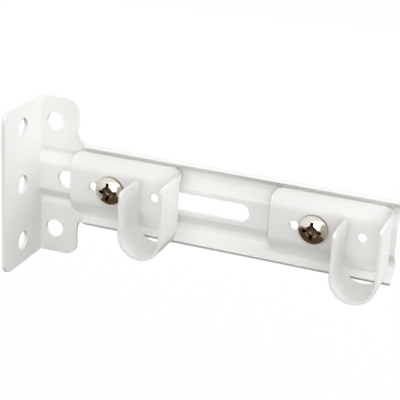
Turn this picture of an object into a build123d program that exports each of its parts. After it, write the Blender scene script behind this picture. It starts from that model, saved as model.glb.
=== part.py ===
"""Double curtain pole bracket, pressed from white powder-coated sheet steel.

A ribbed arm stands out from the wall along +X. Two identical hooks slide along
slots in the arm, and each is clamped by a pan-head screw and a square nut.
The origin lies in the wall plane, at the middle of the wall screw holes.
The front, from which the poles are put in, faces -Y, and +Z is up.
"""

import os
from math import atan, sqrt, tan

from build123d import *

# Arm: one sheet, with a wall flange, two ears and a ribbed blade
arm_sheet = 1.5
arm_length = 156.0
wall_plate_height = 70.0
flange_width = 31.4
flange_corner = 4.0
ear_length = 18.4
ear_corner = 5.0
neck_fillet = 5.5
bend_radius = 2.0
wall_bend_radius = 1.4
inner_bend_radius = 1.0

# Arm section, measured forward from the ears' front face and up from the middle
panel_rise = 2.0
panel_half_height = 6.0
groove_depth = 0.9
groove_foot = 10.2
ear_foot = 12.8
lip_foot = 13.0
lip_reach = 4.7
lip_half_height = 16.7

# Screw holes
hole_diameter = 8.0
wall_hole_pitch = 25.0
wall_hole_offset = 16.2
ear_hole_spacing = 48.5
ear_hole_offset = 8.0

# Slots that the clamp screws slide in
slot_width = 7.7
rear_slot_start = 10.4
slot_bridge = 13.0
front_slot_length = 41.0
front_slot_margin = 6.0

# Hooks: one sheet, with a plate, a fold and a cradle for the pole
hook_sheet = 1.2
hook_length = 50.0
hook_standoff = 1.2
hook_half_height = 13.9
hook_flat_half_height = 7.6
hook_edge_setback = 2.6
hook_bend_radius = 8.0
hook_trim = 2.0
hook_corner = 4.5
fold_radius = 5.0
fold_bottom = -7.6
cradle_radius = 8.2
cradle_centre = -9.7
cradle_back = 6.8
cradle_front = 24.9
tall_wall_top = 12.9
short_wall_top = 8.2
wall_corner = 2.0
screw_offset = 18.5
pilot_offset = 10.5
sight_offset = 38.1
small_hole_diameter = 4.0
rear_hook_start = 17.4
front_hook_margin = 0.9

# Clamp screws and nuts
screw_diameter = 6.0
screw_length = 12.0
screw_hole_clearance = 0.6
head_diameter = 12.0
head_height = 4.0
head_rim = 1.8
crown_diameter = 6.8
recess_length = 6.4
recess_width = 1.3
recess_depth = 2.2
nut_width = 10.0
nut_thickness = 3.2
thread_clearance = 0.2

ear_face_y = wall_hole_offset
panel_face_y = ear_face_y - panel_rise
hook_back = panel_rise + hook_standoff
hook_face = hook_back + hook_sheet
hook_face_y = ear_face_y - hook_face
edge_slope = hook_edge_setback / (hook_half_height - hook_flat_half_height)
blank_half_height = hook_half_height + hook_trim
cradle_outer_radius = cradle_radius + hook_sheet
front_slot_end = arm_length - front_slot_margin
front_slot_start = front_slot_end - front_slot_length
rear_slot_end = front_slot_start - slot_bridge
front_hook_start = arm_length - front_hook_margin - hook_length
neck_steps = (0.0, 0.25, 0.6, 1.0)


def section_plane(x):
    """Plane across the arm at x: its first axis points forward, its second up."""
    return Plane(origin=(x, ear_face_y, 0), x_dir=(0, -1, 0), z_dir=(-1, 0, 0))


def arm_section(flare, half_height):
    """Arm section between the flat ears, flare 0, and the flared lips, flare 1."""
    foot_forward = -groove_depth * flare
    foot_height = ear_foot + (lip_foot - ear_foot) * flare
    upper = [
        (panel_rise, panel_half_height),
        (-groove_depth, groove_foot),
        (foot_forward, foot_height),
        (lip_reach * flare, half_height),
    ]
    lower = [(forward, -height) for forward, height in reversed(upper)]
    with BuildSketch() as section:
        with BuildLine():
            FilletPolyline(*lower, *upper, radius=bend_radius)
            offset(amount=arm_sheet, side=Side.LEFT)
        make_face()
    return section.sketch


def hook_block(depth):
    """Solid in front of the hook's sheet, at a depth below its front face, rounded at the fold."""
    corner_height = hook_flat_half_height - depth * tan(atan(edge_slope) / 2)
    forward = hook_face - depth
    edge_forward = forward - edge_slope * (blank_half_height - corner_height)
    with BuildPart() as block:
        with BuildSketch(section_plane(0)):
            with BuildLine():
                face_line = FilletPolyline(
                    (edge_forward, -blank_half_height),
                    (forward, -corner_height),
                    (forward, corner_height),
                    (edge_forward, blank_half_height),
                    radius=hook_bend_radius - depth,
                )
                Polyline(
                    face_line @ 1,
                    (cradle_front, blank_half_height),
                    (cradle_front, -blank_half_height),
                    face_line @ 0,
                )
            make_face()
        extrude(amount=-(hook_length - hook_sheet + depth))
        fold_edge = block.edges().filter_by(Axis.Z).group_by(Axis.X)[-1].sort_by(Axis.Y)[-1]
        fillet(fold_edge, radius=fold_radius - hook_sheet + depth)
    return block.part


with BuildPart() as bracket_arm:
    # Wall flange
    with BuildSketch(section_plane(0)) as flange_outline:
        with Locations(((flange_width - arm_sheet) / 2, 0)):
            Rectangle(flange_width + arm_sheet, wall_plate_height)
        fillet(flange_outline.vertices().group_by(Axis.X)[-1], radius=flange_corner)
    extrude(amount=-arm_sheet)
    back_edge = bracket_arm.edges().filter_by(Axis.Z).group_by(Axis.X)[0].sort_by(Axis.Y)[-1]
    fillet(back_edge, radius=wall_bend_radius)

    # Ears, with the panel and the grooves running between them to the wall
    with BuildSketch(section_plane(arm_sheet)):
        add(arm_section(0, wall_plate_height / 2))
    extrude(amount=-(ear_length - arm_sheet))
    ear_tips = bracket_arm.edges().filter_by(Axis.Y).group_by(Axis.X)[-1]
    fillet(ear_tips, radius=ear_corner)
    inner_bends = bracket_arm.edges().filter_by(Axis.Z).filter_by(
        lambda edge: abs(edge.center().X - arm_sheet) + abs(edge.center().Y - ear_face_y) < arm_sheet / 10
    )
    fillet(inner_bends, radius=inner_bend_radius)

    # Neck, where the ears turn into the flared lips
    for step in neck_steps:
        flare = step * step * (3 - 2 * step)
        rise = neck_fillet * (1 - sqrt(1 - (1 - step) ** 2))
        with BuildSketch(section_plane(ear_length + neck_fillet * step)):
            add(arm_section(flare, lip_half_height + rise))
    loft(ruled=True)

    # Ribbed blade
    blade_start = ear_length + neck_fillet
    with BuildSketch(section_plane(blade_start)):
        add(arm_section(1, lip_half_height))
    extrude(amount=-(arm_length - blade_start))

    # Slots and screw holes
    with BuildSketch(Plane.XZ.offset(-ear_face_y)):
        for start, end in ((rear_slot_start, rear_slot_end), (front_slot_start, front_slot_end)):
            with Locations(((start + end) / 2, 0)):
                SlotOverall(end - start, slot_width)
        with Locations((ear_hole_offset, ear_hole_spacing / 2), (ear_hole_offset, -ear_hole_spacing / 2)):
            Circle(hole_diameter / 2)
    extrude(amount=2 * arm_sheet + panel_rise, both=True, mode=Mode.SUBTRACT)
    with BuildSketch(section_plane(0)):
        with Locations(*((wall_hole_offset, place * wall_hole_pitch) for place in (-1, 0, 1))):
            Circle(hole_diameter / 2)
    extrude(amount=-arm_sheet, mode=Mode.SUBTRACT)

with BuildPart() as hook:
    # Plate, arched over the arm's raised panel, and the tall cradle wall folded forward from it
    add(hook_block(hook_sheet))
    add(hook_block(0), mode=Mode.SUBTRACT)

    # Outline of the blank, rounded at the free end and lowered at the fold
    fold_x = hook_length - fold_radius
    with BuildSketch(Plane.XZ.offset(-ear_face_y)) as plate_outline:
        with BuildLine():
            Polyline(
                (0, -hook_half_height),
                (fold_x, -hook_half_height),
                (hook_length, fold_bottom),
                (hook_length, tall_wall_top),
                (hook_length - hook_sheet, tall_wall_top),
                (fold_x, hook_half_height),
                (0, hook_half_height),
                close=True,
            )
        make_face()
        fillet(plate_outline.vertices().group_by(Axis.X)[0], radius=hook_corner)
    extrude(amount=2 * cradle_front, both=True, mode=Mode.INTERSECT)

    # Cradle, a strap rolled round the underside of the pole
    cradle_x = hook_length - cradle_outer_radius
    free_x = hook_length - 2 * cradle_outer_radius
    with BuildSketch(Plane.XZ.offset(cradle_back - ear_face_y)):
        with BuildLine():
            Line((hook_length, fold_bottom), (hook_length, cradle_centre))
            ThreePointArc(
                (hook_length, cradle_centre),
                (cradle_x, cradle_centre - cradle_outer_radius),
                (free_x, cradle_centre),
            )
            Line((free_x, cradle_centre), (free_x, short_wall_top))
            offset(amount=hook_sheet, side=Side.RIGHT)
        make_face()
    extrude(amount=cradle_front - cradle_back)
    wall_tips = hook.edges().filter_by(Axis.X).filter_by(
        lambda edge: edge.center().Z > 0
        and edge.length < 2 * hook_sheet
        and edge.center().Y < ear_face_y - cradle_back + wall_corner
    )
    fillet(wall_tips, radius=wall_corner)

    # Screw hole and the two small holes
    with BuildSketch(Plane.XZ.offset(-ear_face_y)):
        with Locations((screw_offset, 0)):
            Circle((screw_diameter + screw_hole_clearance) / 2)
        with Locations((pilot_offset, 0), (sight_offset, 0)):
            Circle(small_hole_diameter / 2)
    extrude(amount=hook_face, mode=Mode.SUBTRACT)

with BuildPart() as screw:
    # Pan head in front of the hook, shank through the slot behind it
    with BuildSketch(Plane.XY):
        with BuildLine():
            Line((0, -head_height), (0, screw_length))
            Line((0, screw_length), (screw_diameter / 2, screw_length))
            Line((screw_diameter / 2, screw_length), (screw_diameter / 2, 0))
            Line((screw_diameter / 2, 0), (head_diameter / 2, 0))
            Line((head_diameter / 2, 0), (head_diameter / 2, -head_rim))
            Line((head_diameter / 2, -head_rim), (crown_diameter / 2, -head_height))
            Line((crown_diameter / 2, -head_height), (0, -head_height))
        make_face()
    revolve(axis=Axis.Y)
    with BuildSketch(Plane.XZ.offset(head_height)):
        Rectangle(recess_length, recess_width)
        Rectangle(recess_width, recess_length)
    extrude(amount=-recess_depth, mode=Mode.SUBTRACT)

with BuildPart() as nut:
    # Square nut, held from turning by the sides of the arm's panel
    with BuildSketch(Plane.XZ):
        Rectangle(nut_width, nut_width)
        Circle((screw_diameter + thread_clearance) / 2, mode=Mode.SUBTRACT)
    extrude(amount=-nut_thickness)

os.makedirs("parts", exist_ok=True)
bracket_arm.part.label = "bracket_arm"
export_step(bracket_arm.part, "parts/bracket_arm.step")
nut_face_y = panel_face_y + arm_sheet
for place, hook_start in (("rear", rear_hook_start), ("front", front_hook_start)):
    screw_x = hook_start + screw_offset
    pieces = {
        f"{place}_hook": hook.part.moved(Location((hook_start, 0, 0))),
        f"{place}_screw": screw.part.moved(Location((screw_x, hook_face_y, 0))),
        f"{place}_nut": nut.part.moved(Location((screw_x, nut_face_y, 0))),
    }
    for name, piece in pieces.items():
        piece.label = name
        export_step(piece, f"parts/{name}.step")
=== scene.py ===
from math import asin, cos, pi, radians, sin

import bmesh
import bpy
from mathutils import Matrix, Vector


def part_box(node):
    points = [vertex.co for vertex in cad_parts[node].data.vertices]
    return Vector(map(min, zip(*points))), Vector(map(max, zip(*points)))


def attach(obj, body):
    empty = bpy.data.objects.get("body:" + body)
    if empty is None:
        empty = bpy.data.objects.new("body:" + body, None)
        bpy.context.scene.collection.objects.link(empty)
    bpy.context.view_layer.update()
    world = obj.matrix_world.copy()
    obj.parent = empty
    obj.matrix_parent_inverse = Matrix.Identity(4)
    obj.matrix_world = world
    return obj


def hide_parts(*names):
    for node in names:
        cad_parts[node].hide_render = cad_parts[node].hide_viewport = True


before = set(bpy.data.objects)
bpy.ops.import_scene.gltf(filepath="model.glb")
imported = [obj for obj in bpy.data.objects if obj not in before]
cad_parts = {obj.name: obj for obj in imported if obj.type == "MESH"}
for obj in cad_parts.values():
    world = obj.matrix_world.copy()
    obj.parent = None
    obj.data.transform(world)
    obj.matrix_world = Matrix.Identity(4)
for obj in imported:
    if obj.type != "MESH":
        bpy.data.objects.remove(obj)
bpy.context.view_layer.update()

# The arm is one sheet of mild steel, blanked, pressed with two stiffening grooves and
# flared lips, folded at the wall flange, and then powder coated in white.
# The coat flows over the cut edges in the oven, so every edge is slightly rounded.
MM = 0.001
ORANGE_PEEL_MM = 1.3
COAT_CLOUD_MM = 28.0
COAT_EDGE_MM = 0.28
COAT_RELIEF_MM = 0.012


def linear(hex_colour):
    """Linear RGBA of an sRGB hex colour."""
    channels = [int(hex_colour[place:place + 2], 16) / 255 for place in (1, 3, 5)]
    return [c / 12.92 if c <= 0.04045 else ((c + 0.055) / 1.055) ** 2.4 for c in channels] + [1.0]


def add_node(tree, kind, settings=None, links=None):
    """A shader node with its settings, and links from its inputs to other nodes' outputs."""
    node = tree.nodes.new(kind)
    for name, value in (settings or {}).items():
        if name in node.inputs:
            node.inputs[name].default_value = value
        else:
            setattr(node, name, value)
    for name, output in (links or {}).items():
        tree.links.new(output, node.inputs[name])
    return node


def new_material(name):
    """An empty node material and its output node."""
    material = bpy.data.materials.new(name)
    material.use_nodes = True
    material.node_tree.nodes.clear()
    return material, add_node(material.node_tree, "ShaderNodeOutputMaterial")


def powder_coated_steel():
    """White polyester powder coat: satin, faintly rippled like orange peel, thin at the edges."""
    material, output = new_material("white powder-coated steel")
    tree = material.node_tree
    place = add_node(tree, "ShaderNodeTexCoord").outputs["Object"]
    cloud = add_node(tree, "ShaderNodeTexNoise", {"Scale": 1 / (COAT_CLOUD_MM * MM), "Detail": 2.0},
                     {"Vector": place})
    tint = add_node(tree, "ShaderNodeValToRGB", {}, {"Fac": cloud.outputs["Fac"]})
    tint.color_ramp.elements[0].color = linear("#F2F2F1")
    tint.color_ramp.elements[1].color = linear("#F6F6F4")
    gloss = add_node(tree, "ShaderNodeMapRange", {"To Min": 0.36, "To Max": 0.46},
                     {"Value": cloud.outputs["Fac"]})
    # The real ripple is finer, about 0.6 mm, and is drawn coarser so that it shows.
    peel = add_node(tree, "ShaderNodeTexNoise", {"Scale": 1 / (ORANGE_PEEL_MM * MM), "Detail": 1.0},
                    {"Vector": place})
    edge = add_node(tree, "ShaderNodeBevel", {"samples": 6, "Radius": COAT_EDGE_MM * MM})
    relief = add_node(tree, "ShaderNodeBump", {"Strength": 0.35, "Distance": COAT_RELIEF_MM * MM},
                      {"Height": peel.outputs["Fac"], "Normal": edge.outputs["Normal"]})
    coat = add_node(tree, "ShaderNodeBsdfPrincipled", {"IOR": 1.5},
                    {"Base Color": tint.outputs["Color"], "Roughness": gloss.outputs["Result"],
                     "Normal": relief.outputs["Normal"]})
    tree.links.new(coat.outputs["BSDF"], output.inputs["Surface"])
    return material


white_coat = powder_coated_steel()


def finish_node(name, material):
    """Gives a CAD node its finish."""
    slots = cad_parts[name].data.materials
    slots.clear()
    slots.append(material)


finish_node("bracket_arm", white_coat)

# The two hooks are the same pressing in thinner sheet, with the same white coat.
# Each is a plate arched over the arm's panel, folded forward into a cradle for a pole.
for place in ("rear", "front"):
    finish_node(f"{place}_hook", white_coat)

# The clamp screws are M6 pan-head machine screws, cold headed with a punched cross recess
# and thread rolled, then nickel plated. They draw the nuts behind the arm up to it.
# Each mesh is turned from the CAD screw's own box, with the real thread and recess.
SCREW_LENGTH = 12.0 * MM
HEAD_HEIGHT = 4.0 * MM
HEAD_RIM = 1.8 * MM
RIM_ROUND = 0.15 * MM
CROWN_BREAK = 0.03 * MM
CROWN_SHARE = 0.97
CROWN_STEPS = 20
SHANK_RADIUS = 3.0 * MM
THREAD_START = 0.5 * MM
THREAD_PITCH = 1.0 * MM
THREAD_DEPTH = 0.55 * MM
ROWS_PER_PITCH = 10
TIP_CHAMFER = 0.7 * MM
RECESS_DEPTH = 2.6 * MM
RECESS_POINT = 0.35 * MM
CONE_TOP_RADIUS = 2.97 * MM
CONE_FLOOR_RADIUS = 1.89 * MM
WING_TOP_REACH = 4.95 * MM
WING_FLOOR_REACH = 2.97 * MM
WING_TOP_HALF_WIDTH = 1.15 * MM
WING_FLOOR_HALF_WIDTH = 0.92 * MM
WING_TIP_SHARE = 0.55
PUNCH_LEAD = 1.0 * MM
TURNED_STEPS = 96
SHARP_ANGLE = radians(34)
HAZE_MM = 1.5
HAZE_RELIEF_MM = 0.01
RECESS_SHADE_MM = 2.5


def mesh_object(name, shape):
    """An object from a bmesh."""
    mesh = bpy.data.meshes.new(name)
    bmesh.ops.recalc_face_normals(shape, faces=shape.faces)
    shape.to_mesh(mesh)
    shape.free()
    piece = bpy.data.objects.new(name, mesh)
    bpy.context.scene.collection.objects.link(piece)
    return piece


def turned(name, rows, centre, thread=None):
    """A piece turned about Y through centre, from rows of (radius, y), threaded between two y."""
    shape = bmesh.new()
    rings = []
    for radius, y in rows:
        ring = []
        for step in range(TURNED_STEPS if radius else 1):
            angle = 2 * pi * step / TURNED_STEPS
            depth = 0.0
            if thread and thread[0] <= y <= thread[1]:
                turn = (y / THREAD_PITCH - step / TURNED_STEPS) % 1.0
                runout = min(1.0, (y - thread[0]) / THREAD_PITCH, (thread[1] - y) / THREAD_PITCH)
                depth = THREAD_DEPTH * runout * abs(2 * turn - 1)
            reach = radius - depth
            ring.append(shape.verts.new(centre + Vector((reach * cos(angle), y, reach * sin(angle)))))
        rings.append(ring)
    for first, second in zip(rings, rings[1:]):
        for step in range(TURNED_STEPS):
            after = (step + 1) % TURNED_STEPS
            corners = (first[step % len(first)], first[after % len(first)],
                       second[after % len(second)], second[step % len(second)])
            shape.faces.new(list(dict.fromkeys(corners)))
    return mesh_object(name, shape)


def boolean(piece, tool, operation):
    """Joins, cuts or trims a piece with a tool, which is then deleted."""
    modifier = piece.modifiers.new(operation, "BOOLEAN")
    modifier.operation = operation
    modifier.object = tool
    evaluated = piece.evaluated_get(bpy.context.evaluated_depsgraph_get())
    mesh = bpy.data.meshes.new_from_object(evaluated)
    piece.modifiers.clear()
    piece.data = mesh
    bpy.data.objects.remove(tool)


def recess_punch(centre, crown_y):
    """The heading punch: a tapered cross with a cone in its middle."""
    top_y = crown_y - PUNCH_LEAD
    floor_y = crown_y + RECESS_DEPTH
    cone = ((0, top_y), (CONE_TOP_RADIUS, top_y), (CONE_FLOOR_RADIUS, floor_y), (0, floor_y + RECESS_POINT))
    punch = turned("recess punch", cone, centre)
    for upright in (False, True):
        shape = bmesh.new()
        ends = []
        for y, reach, wing in ((top_y, WING_TOP_REACH, WING_TOP_HALF_WIDTH),
                               (floor_y, WING_FLOOR_REACH, WING_FLOOR_HALF_WIDTH)):
            tip = WING_TIP_SHARE * wing
            outline = ((reach, tip), (0, wing), (-reach, tip), (-reach, -tip), (0, -wing), (reach, -tip))
            ends.append([shape.verts.new(centre + Vector((b, y, a) if upright else (a, y, b)))
                         for a, b in outline])
        shape.faces.new(ends[0])
        shape.faces.new(ends[1])
        for side in range(len(outline)):
            after = (side + 1) % len(outline)
            shape.faces.new((ends[0][side], ends[0][after], ends[1][after], ends[1][side]))
        boolean(punch, mesh_object("recess wing", shape), "UNION")
    return punch


def clamp_screw(name, low, high):
    """The screw in the CAD screw's box, head towards -Y."""
    head_radius = (high.x - low.x) / 2
    seat_y = high.y - SCREW_LENGTH
    crown_y = seat_y - HEAD_HEIGHT
    crown_rise = HEAD_HEIGHT - HEAD_RIM
    crown_radius = (head_radius ** 2 + crown_rise ** 2) / (2 * crown_rise)
    crown_reach = asin(head_radius / crown_radius)
    rim_middle = RIM_ROUND * 0.3
    rows = []
    for step in range(CROWN_STEPS + 1):
        angle = CROWN_SHARE * crown_reach * step / CROWN_STEPS
        rows.append((crown_radius * sin(angle), crown_y + crown_radius * (1 - cos(angle))))
    rows += [(head_radius - CROWN_BREAK, seat_y - HEAD_RIM + CROWN_BREAK),
             (head_radius, seat_y - HEAD_RIM + RIM_ROUND),
             (head_radius, seat_y - RIM_ROUND),
             (head_radius - rim_middle, seat_y - rim_middle),
             (head_radius - RIM_ROUND, seat_y),
             (SHANK_RADIUS, seat_y)]
    thread = (seat_y + THREAD_START, high.y - TIP_CHAMFER)
    row_count = round((thread[1] - thread[0]) / THREAD_PITCH * ROWS_PER_PITCH)
    for row in range(row_count + 1):
        rows.append((SHANK_RADIUS, thread[0] + (thread[1] - thread[0]) * row / row_count))
    rows += [(SHANK_RADIUS - TIP_CHAMFER, high.y), (0, high.y)]
    centre = Vector(((low.x + high.x) / 2, 0, (low.z + high.z) / 2))
    piece = turned(name, rows, centre, thread)
    boolean(piece, recess_punch(centre, crown_y), "DIFFERENCE")
    piece.data.shade_smooth()
    piece.data.set_sharp_from_angle(angle=SHARP_ANGLE)
    return piece


def nickel_plated_steel():
    """Bright nickel plate: a warm mirror with a faint haze, with painted shade that turns it dark brown in
    hollows, most of all down in the punched recess.
    """
    material, output = new_material("nickel-plated steel")
    tree = material.node_tree
    place = add_node(tree, "ShaderNodeTexCoord").outputs["Object"]
    haze = add_node(tree, "ShaderNodeTexNoise", {"Scale": 1 / (HAZE_MM * MM), "Detail": 3.0},
                    {"Vector": place})
    gloss = add_node(tree, "ShaderNodeMapRange", {"To Min": 0.12, "To Max": 0.24},
                     {"Value": haze.outputs["Fac"]})
    # Painted shade: where the AO node finds the plate hemmed in within a few millimetres, mostly in the
    # punched recess, the colour goes to dark brown.
    recess_painted_shade = add_node(tree, "ShaderNodeAmbientOcclusion", {"samples": 8, "Distance": RECESS_SHADE_MM * MM})
    tint = add_node(tree, "ShaderNodeValToRGB", {}, {"Fac": recess_painted_shade.outputs["AO"]})
    tint.color_ramp.elements[0].position = 0.6
    tint.color_ramp.elements[0].color = linear("#6B5636")
    tint.color_ramp.elements[1].position = 0.96
    tint.color_ramp.elements[1].color = linear("#E4DDD2")
    relief = add_node(tree, "ShaderNodeBump", {"Strength": 0.2, "Distance": HAZE_RELIEF_MM * MM},
                      {"Height": haze.outputs["Fac"]})
    plate = add_node(tree, "ShaderNodeBsdfPrincipled", {"Metallic": 1.0},
                     {"Base Color": tint.outputs["Color"], "Roughness": gloss.outputs["Result"],
                      "Normal": relief.outputs["Normal"]})
    tree.links.new(plate.outputs["BSDF"], output.inputs["Surface"])
    return material


nickel = nickel_plated_steel()
for place in ("rear", "front"):
    low, high = (Vector(corner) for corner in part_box(f"{place}_screw"))
    piece = clamp_screw(f"{place}_clamp_screw", low, high)
    piece.data.materials.append(nickel)
    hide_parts(f"{place}_screw")
    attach(piece, f"{place}_carrier")

# The nuts are square, pressed from steel strip, tapped M6 and zinc plated.
# They lie in the channel behind the arm's panel, whose sides keep them from turning.
NUT_CORNER = 0.25 * MM
NUT_BORE = 3.05 * MM
NUT_CHAMFER = 0.35 * MM
NUT_SEAT = 0.03 * MM
BORE_OVERRUN = 0.5 * MM
ZINC_PATCH_MM = 2.0
ZINC_RELIEF_MM = 0.02


def zinc_plated_steel():
    """Zinc plate: a pale bluish grey, dull and patchy beside the screw's bright nickel."""
    material, output = new_material("zinc-plated steel")
    tree = material.node_tree
    place = add_node(tree, "ShaderNodeTexCoord").outputs["Object"]
    patch = add_node(tree, "ShaderNodeTexNoise", {"Scale": 1 / (ZINC_PATCH_MM * MM), "Detail": 4.0},
                     {"Vector": place})
    tint = add_node(tree, "ShaderNodeValToRGB", {}, {"Fac": patch.outputs["Fac"]})
    tint.color_ramp.elements[0].color = linear("#A9ABAD")
    tint.color_ramp.elements[1].color = linear("#C9CBCC")
    gloss = add_node(tree, "ShaderNodeMapRange", {"To Min": 0.3, "To Max": 0.5},
                     {"Value": patch.outputs["Fac"]})
    relief = add_node(tree, "ShaderNodeBump", {"Strength": 0.25, "Distance": ZINC_RELIEF_MM * MM},
                      {"Height": patch.outputs["Fac"]})
    plate = add_node(tree, "ShaderNodeBsdfPrincipled", {"Metallic": 1.0},
                     {"Base Color": tint.outputs["Color"], "Roughness": gloss.outputs["Result"],
                      "Normal": relief.outputs["Normal"]})
    tree.links.new(plate.outputs["BSDF"], output.inputs["Surface"])
    return material


def square_nut(name, low, high):
    """The nut in the CAD nut's box: broken edges, a chamfered bore, a hair off the arm."""
    low = low + Vector((0, NUT_SEAT, 0))
    centre = (low + high) / 2
    shape = bmesh.new()
    bmesh.ops.create_cube(shape, size=1.0)
    bmesh.ops.scale(shape, vec=high - low, verts=shape.verts)
    bmesh.ops.translate(shape, vec=centre, verts=shape.verts)
    bmesh.ops.bevel(shape, geom=shape.edges, offset=NUT_CORNER, segments=2, profile=0.5, affect="EDGES")
    piece = mesh_object(name, shape)
    start_y = low.y - BORE_OVERRUN
    end_y = high.y + BORE_OVERRUN
    mouth = NUT_BORE + NUT_CHAMFER + BORE_OVERRUN
    rows = ((0, start_y), (mouth, start_y), (NUT_BORE, low.y + NUT_CHAMFER),
            (NUT_BORE, high.y - NUT_CHAMFER), (mouth, end_y), (0, end_y))
    boolean(piece, turned("nut bore", rows, Vector((centre.x, 0, centre.z))), "DIFFERENCE")
    piece.data.shade_smooth()
    piece.data.set_sharp_from_angle(angle=SHARP_ANGLE)
    return piece


zinc = zinc_plated_steel()
for place in ("rear", "front"):
    low, high = (Vector(corner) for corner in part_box(f"{place}_nut"))
    piece = square_nut(f"{place}_square_nut", low, high)
    piece.data.materials.append(zinc)
    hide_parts(f"{place}_nut")
    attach(piece, f"{place}_carrier")

# The studio: a white sweep far below the bracket, a brown card over it that the camera sees
# only in the metal and that shades the undersides, and soft lamps in front, beside and behind.
FLOOR_CENTRE = (0.08, 0, -0.26)
FLOOR_SIZE = 8.0
CARD_CENTRE = (0.05, -0.35, -0.13)
CARD_WIDTH = 1.4
CARD_DEPTH = 1.1
LAMP_AIM = Vector((0.08, 0, 0))


def plane(name, centre, size_x, size_y):
    """A level rectangle."""
    shape = bmesh.new()
    corners = ((-1, -1), (1, -1), (1, 1), (-1, 1))
    shape.faces.new([shape.verts.new(Vector(centre) + Vector((a * size_x / 2, b * size_y / 2, 0)))
                     for a, b in corners])
    return mesh_object(name, shape)


def seen_rays(tree):
    """1 for rays straight from the camera or off a mirror, else 0."""
    path = add_node(tree, "ShaderNodeLightPath")
    seen = add_node(tree, "ShaderNodeMath", {"operation": "MAXIMUM"})
    tree.links.new(path.outputs["Is Camera Ray"], seen.inputs[0])
    tree.links.new(path.outputs["Is Glossy Ray"], seen.inputs[1])
    return seen.outputs["Value"]


def paper_sweep():
    """White paper that the camera sees as white, with the bracket's soft shadow on it."""
    material, output = new_material("white paper sweep")
    tree = material.node_tree
    paper = add_node(tree, "ShaderNodeBsdfDiffuse", {"Color": linear("#F4F4F4")})
    glow = add_node(tree, "ShaderNodeEmission", {"Strength": 1.0})
    dim = add_node(tree, "ShaderNodeBsdfDiffuse", {"Color": linear("#8C8C8C")})
    lit = add_node(tree, "ShaderNodeMixShader", {"Fac": 0.97})
    tree.links.new(paper.outputs["BSDF"], lit.inputs[1])
    tree.links.new(glow.outputs["Emission"], lit.inputs[2])
    shown = add_node(tree, "ShaderNodeMixShader", {}, {"Fac": seen_rays(tree)})
    tree.links.new(dim.outputs["BSDF"], shown.inputs[1])
    tree.links.new(lit.outputs["Shader"], shown.inputs[2])
    tree.links.new(shown.outputs["Shader"], output.inputs["Surface"])
    return material


floor = plane("floor", FLOOR_CENTRE, FLOOR_SIZE, FLOOR_SIZE)
floor.data.materials.append(paper_sweep())

brown_card, output = new_material("brown card")
tree = brown_card.node_tree
matt = add_node(tree, "ShaderNodeBsdfDiffuse", {"Color": linear("#4E4232")})
tree.links.new(matt.outputs["BSDF"], output.inputs["Surface"])
card = plane("card", CARD_CENTRE, CARD_WIDTH, CARD_DEPTH)
card.data.materials.append(brown_card)
card.visible_camera = False
card.visible_shadow = False

world = bpy.context.scene.world or bpy.data.worlds.new("studio")
bpy.context.scene.world = world
world.use_nodes = True
tree = world.node_tree
tree.nodes.clear()
room = add_node(tree, "ShaderNodeBackground", {"Color": linear("#FFFFFF"), "Strength": 0.72})
white = add_node(tree, "ShaderNodeBackground", {"Color": linear("#FFFFFF"), "Strength": 1.0})
shown = add_node(tree, "ShaderNodeMixShader", {}, {"Fac": seen_rays(tree)})
tree.links.new(room.outputs["Background"], shown.inputs[1])
tree.links.new(white.outputs["Background"], shown.inputs[2])
tree.links.new(shown.outputs["Shader"], add_node(tree, "ShaderNodeOutputWorld").inputs["Surface"])


def softbox(name, place, size, power):
    """A square soft lamp that faces the bracket's middle."""
    lamp = bpy.data.lights.new(name, "AREA")
    lamp.size = size
    lamp.energy = power
    holder = bpy.data.objects.new(name, lamp)
    holder.location = place
    holder.rotation_euler = (LAMP_AIM - Vector(place)).to_track_quat("-Z", "Y").to_euler()
    bpy.context.scene.collection.objects.link(holder)


softbox("front lamp", (0.34, -1.28, 0.1), 1.5, 11.2)
softbox("side lamp", (1.25, -0.15, 0.4), 0.9, 7.0)
softbox("back lamp", (-0.1, 1.25, 0.35), 1.5, 7.0)

# The camera stands right of the bracket's front and above it, slightly rolled,
# at the place and with the lens that the photo's edges fit.
CAMERA_AZIMUTH = radians(19.836)
CAMERA_ELEVATION = radians(21.617)
CAMERA_ROLL = radians(3.151)
CAMERA_DISTANCE = 502.754 * MM
CAMERA_TARGET = Vector((79.806, 0.0, 8.129)) * MM
CAMERA_LENS = 114.955

back = Vector((sin(CAMERA_AZIMUTH) * cos(CAMERA_ELEVATION),
               -cos(CAMERA_AZIMUTH) * cos(CAMERA_ELEVATION),
               sin(CAMERA_ELEVATION)))
right = Vector((cos(CAMERA_AZIMUTH), sin(CAMERA_AZIMUTH), 0))
up = back.cross(right)
side = cos(CAMERA_ROLL) * right + sin(CAMERA_ROLL) * up
top = cos(CAMERA_ROLL) * up - sin(CAMERA_ROLL) * right
lens = bpy.data.cameras.new("camera")
lens.sensor_width = 36.0
lens.lens = CAMERA_LENS
lens.clip_start = 0.01
camera = bpy.data.objects.new("camera", lens)
camera.matrix_world = Matrix.Translation(CAMERA_TARGET + back * CAMERA_DISTANCE) @ Matrix(
    (side, top, back)).transposed().to_4x4()
bpy.context.scene.collection.objects.link(camera)
bpy.context.scene.camera = camera
bpy.context.scene.view_settings.view_transform = "Standard"
